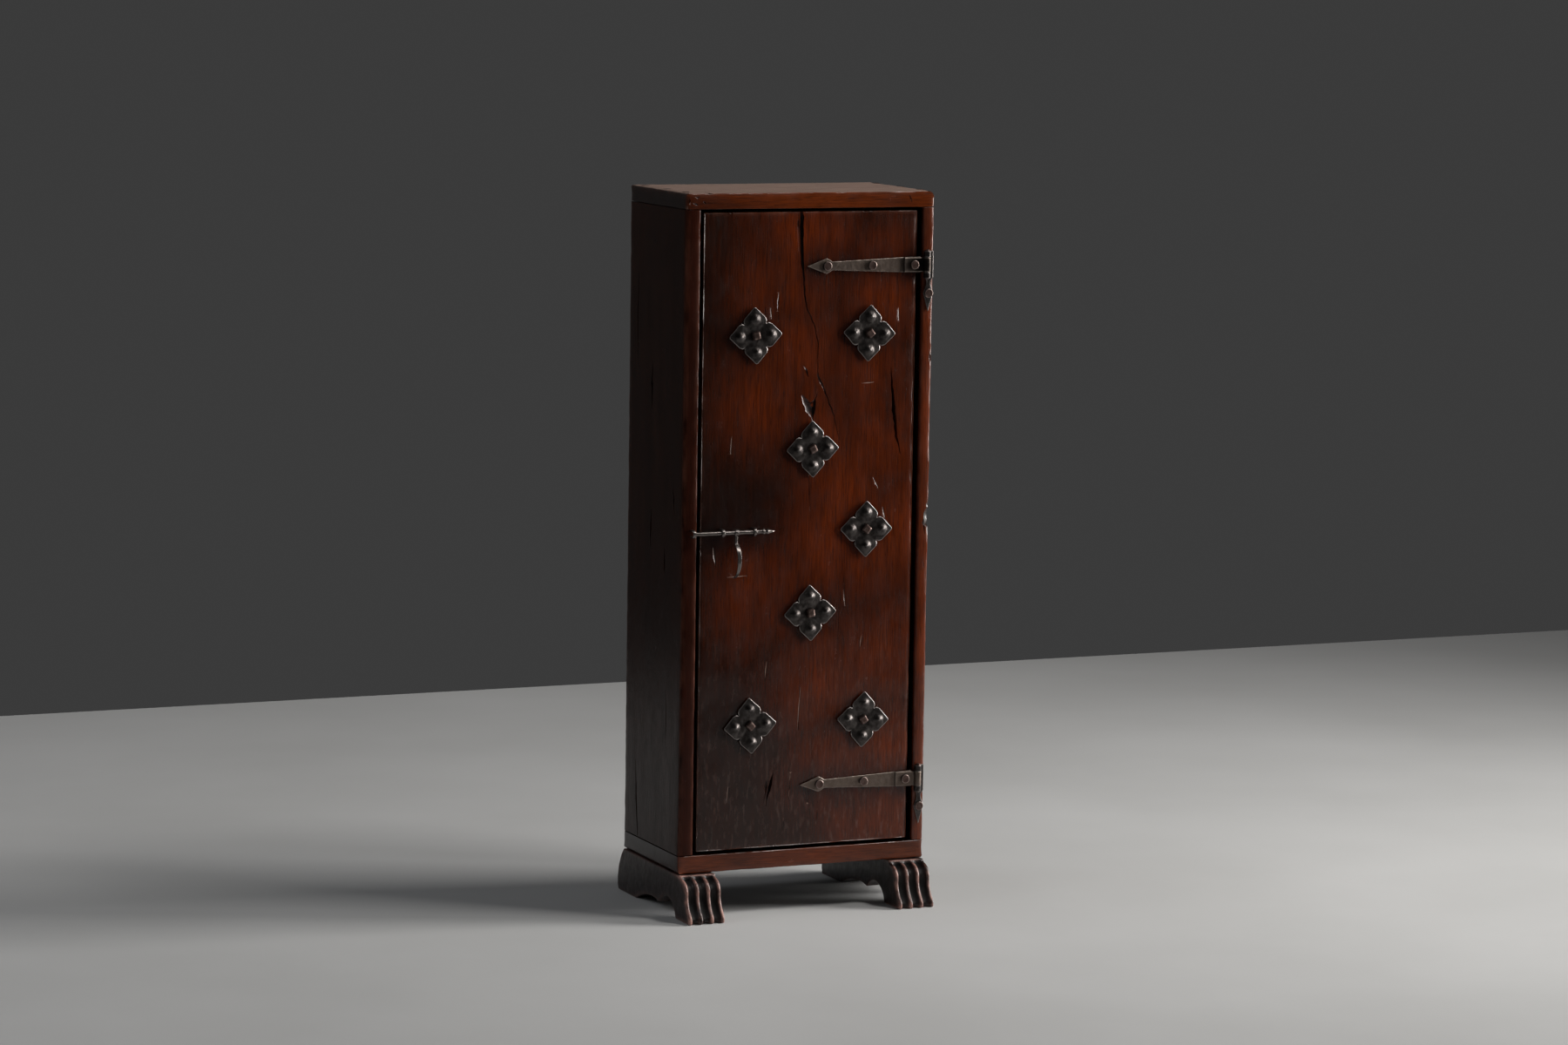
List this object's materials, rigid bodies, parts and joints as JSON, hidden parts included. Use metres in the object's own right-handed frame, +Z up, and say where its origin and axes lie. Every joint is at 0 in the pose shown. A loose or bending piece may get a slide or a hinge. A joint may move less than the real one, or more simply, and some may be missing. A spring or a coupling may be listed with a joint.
{
  "type": "single-door plank cupboard",
  "caption": "Tall narrow one-door cupboard of thick planks on two carved sled feet, with forged strap hinges, a slide bolt and quatrefoil rosettes.",
  "frame": {"origin": "on the floor, in the middle of the footprint of the two sled feet", "axes": "+Z up; +Y from the front to the back; +X to the right, seen from the front"},
  "size_m": [0.39, 0.282, 1.05],
  "materials": {
    "case_wood": "old waxed hardwood, red-brown",
    "door_wood": "old waxed hardwood, red-brown, worn",
    "foot_wood": "carved, waxed and rubbed on the ridges",
    "inner_wood": "bare sawn softwood, dull",
    "iron": "forged, dark, hand rubbed"
  },
  "bodies": {
    "case": {"back_nails": "iron", "back_plank_left": "inner_wood", "back_plank_right": "inner_wood", "bolt_keeper": "iron", "bottom_board": "case_wood", "bottom_nails": "iron", "cleat_nails": "iron", "foot_nails": "iron", "hinge_leaf_bottom": "iron", "hinge_leaf_nails": "iron", "hinge_leaf_top": "iron", "hinge_pin_bottom": "iron", "hinge_pin_top": "iron", "left_foot": "foot_wood", "left_side": "case_wood", "right_foot": "foot_wood", "right_side": "case_wood", "shelf_1": "inner_wood", "shelf_2": "inner_wood", "shelf_3": "inner_wood", "shelf_cleat_left_1": "inner_wood", "shelf_cleat_left_2": "inner_wood", "shelf_cleat_left_3": "inner_wood", "shelf_cleat_right_1": "inner_wood", "shelf_cleat_right_2": "inner_wood", "shelf_cleat_right_3": "inner_wood", "top_board": "case_wood", "top_nails": "iron"},
    "door": {"door_panel": "door_wood", "hinge_strap_top": "iron", "hinge_strap_bottom": "iron", "hinge_strap_nails": "iron", "bolt_guide_left": "iron", "bolt_guide_right": "iron", "rosette_nails": "iron", "rosette_1": "iron", "rosette_2": "iron", "rosette_3": "iron", "rosette_4": "iron", "rosette_5": "iron", "rosette_6": "iron", "rosette_7": "iron"},
    "bolt": {"bolt_rod": "iron"},
    "handle": {"bolt_handle": "iron"}
  },
  "joints": [
    {"name": "door_hinge", "type": "hinge", "parent": "case", "child": "door", "pos_m": [0.18146, -0.10286, 0.5595], "axis": [0, 0, 1], "range_deg": [0, 180]},
    {"name": "bolt_slide", "type": "slide", "parent": "door", "child": "bolt", "axis": [1, 0, 0], "range_m": [-0.0095, 0.0232]},
    {"name": "handle_lift", "type": "hinge", "parent": "bolt", "child": "handle", "pos_m": [-0.1145, -0.105, 0.5625], "axis": [-1, 0, 0], "range_deg": [0, 160]}
  ]
}
